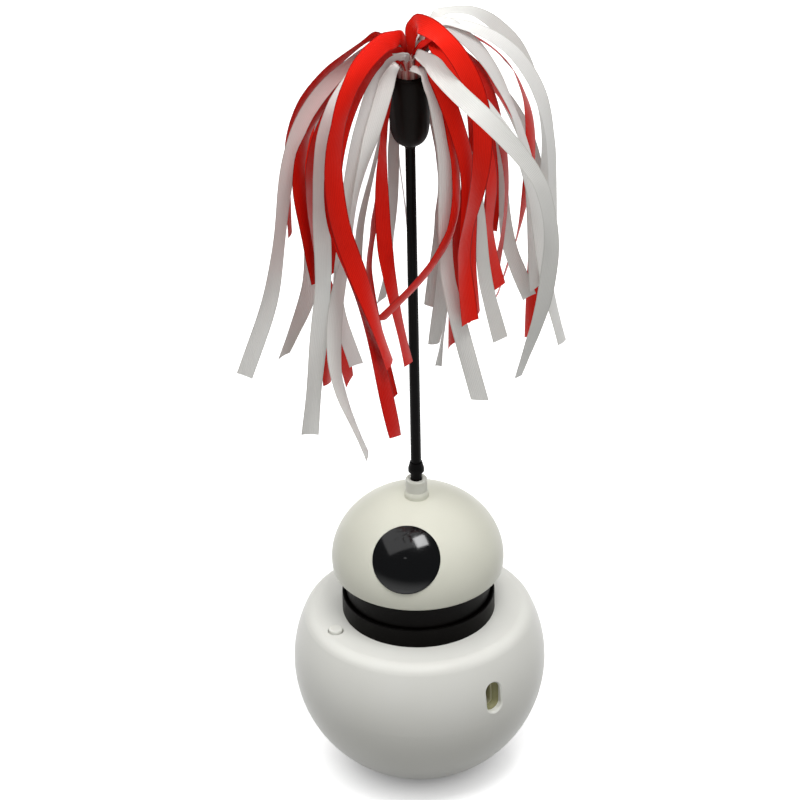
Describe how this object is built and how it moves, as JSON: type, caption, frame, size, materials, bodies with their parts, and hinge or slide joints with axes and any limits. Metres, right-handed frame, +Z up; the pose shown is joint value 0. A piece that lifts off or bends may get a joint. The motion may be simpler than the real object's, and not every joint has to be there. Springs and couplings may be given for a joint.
{
  "type": "cat laser toy",
  "caption": "Ball-shaped floor toy for cats: a geared dome head with a dark laser window turns on a collar and swings a plug-in wand with a red and white ribbon tassel.",
  "frame": {"origin": "on the floor, under the middle of the ball base", "axes": "+Z up along the spindle and wand, +X out of the charging slot"},
  "size_m": [0.0957, 0.1131, 0.3107],
  "materials": {
    "shell_white": "moulded, glossy ivory white",
    "button_white": "moulded, satin white",
    "collar_black": "moulded, semi-gloss black",
    "window_black": "polished dark tinted cover",
    "socket_clear": "frosted translucent",
    "foot_rubber": "matte",
    "ballast_iron": "as cast",
    "screw_steel": "zinc plated",
    "shaft_steel": "ground",
    "motor_steel": "drawn can",
    "port_steel": "stamped",
    "contact_brass": "turned",
    "laser_brass": "turned",
    "laser_glass": "polished",
    "board_green": "solder mask",
    "chip_black": "moulded",
    "cell_wrap": "shrink sleeve",
    "cradle_black": "moulded",
    "gear_acetal": "moulded",
    "wand_black": "drawn rod, satin",
    "clasp_black": "moulded, satin",
    "ribbon_red": "satin ribbon",
    "ribbon_white": "satin ribbon",
    "ribbon_mixed": "gathered satin ribbon"
  },
  "bodies": {
    "base": {"base_shell": "shell_white", "base_bowl": "shell_white", "foot_pad": "foot_rubber", "base_screws": "screw_steel", "ballast": "ballast_iron", "ballast_screws": "screw_steel", "battery_cell": "cell_wrap", "battery_cradle": "cradle_black", "circuit_board": "board_green", "board_chips": "chip_black", "charging_port": "port_steel", "port_tongue": "chip_black", "switch_board": "board_green", "switch_screws": "screw_steel", "tact_switch": "chip_black", "neck_collar": "collar_black", "spindle_bush": "contact_brass", "brush_block": "chip_black", "brush_contacts": "contact_brass", "idler_axle": "shaft_steel", "gear_plate": "gear_acetal", "plate_screws": "screw_steel", "motor_screws": "screw_steel", "drive_motor": "motor_steel", "motor_endcap": "chip_black", "motor_terminals": "contact_brass"},
    "head": {"neck_drum": "collar_black", "head_screws": "screw_steel", "head_dome": "shell_white", "eye_window": "window_black", "laser_barrel": "laser_brass", "laser_lens": "laser_glass", "laser_board": "board_green", "laser_bracket": "cradle_black", "bracket_screws": "screw_steel", "wand_socket": "socket_clear", "spindle": "shaft_steel", "spindle_clip": "shaft_steel", "output_gear": "gear_acetal", "slip_rings": "contact_brass"},
    "idler": {"idler_gear": "gear_acetal"},
    "pinion": {"motor_pinion": "contact_brass", "motor_shaft": "shaft_steel"},
    "button": {"power_button": "button_white", "switch_plunger": "chip_black"},
    "wand": {"wand_ferrule": "wand_black", "wand_rod": "wand_black", "tassel_clasp": "clasp_black", "ribbon_root": "ribbon_mixed", "red_ribbons": "ribbon_red", "white_ribbons": "ribbon_white"}
  },
  "joints": [
    {"name": "head_swivel", "type": "hinge", "parent": "base", "child": "head", "pos_m": [0, 0, 0.066], "axis": [0, 0, 1], "continuous": true},
    {"name": "idler_spin", "type": "hinge", "parent": "base", "child": "idler", "pos_m": [-0.01466, -0.00534, 0.0506], "axis": [0, 0, 1], "continuous": true},
    {"name": "pinion_spin", "type": "hinge", "parent": "base", "child": "pinion", "pos_m": [-0.01876, -0.01661, 0.0489], "axis": [0, 0, 1], "continuous": true},
    {"name": "button_press", "type": "slide", "parent": "base", "child": "button", "axis": [0, 0, -1], "range_m": [0, 0.0006], "stiffness_N_per_m": 800},
    {"name": "wand_pull", "type": "slide", "parent": "head", "child": "wand", "axis": [0, 0, 1], "range_m": [0, 0.012]}
  ],
  "couplings": [
    {"joint": "idler_spin", "follows": "head_swivel", "ratio": -3.3333},
    {"joint": "pinion_spin", "follows": "head_swivel", "ratio": 10}
  ]
}
